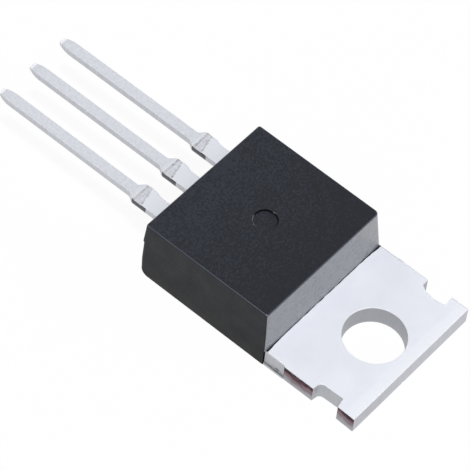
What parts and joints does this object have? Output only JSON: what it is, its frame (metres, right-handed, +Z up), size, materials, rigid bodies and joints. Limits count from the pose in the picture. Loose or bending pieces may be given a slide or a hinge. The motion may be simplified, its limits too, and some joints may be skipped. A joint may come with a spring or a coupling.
{
  "type": "power transistor",
  "caption": "Power transistor with a black moulded body on a tinned copper mounting tab, a screw hole through the tab, notched tab edges and a row of straight leads with tapered tips.",
  "frame": {"origin": "centre of the screw hole in the tab, on the mounting face that the part lies on", "axes": "+Z up through the case, away from the mounting face; +Y towards the free end of the tab, with the leads running towards -Y; +X to the right when the marked side faces the viewer with the tab at the top"},
  "size_m": [0.01, 0.0285, 0.0042],
  "materials": {
    "epoxy_moulding": "black moulded epoxy, fine matt spark-eroded top and sides, smoother end above the tab",
    "tinned_copper": "satin matt tin plating over stamped copper, bare plum-brown copper on the sheared tab edges, grey sheared dam bar stubs",
    "silicon": "metallised silicon, sealed inside the body",
    "solder": "dull grey solder, sealed inside the body",
    "bond_wire": "drawn aluminium wire, sealed inside the body"
  },
  "bodies": {
    "root": {"mould_body": "epoxy_moulding", "tab_and_drain_lead": "tinned_copper", "gate_lead": "tinned_copper", "source_lead": "tinned_copper", "die": "silicon", "die_solder": "solder", "gate_wire": "bond_wire", "source_wire": "bond_wire"}
  },
  "joints": []
}
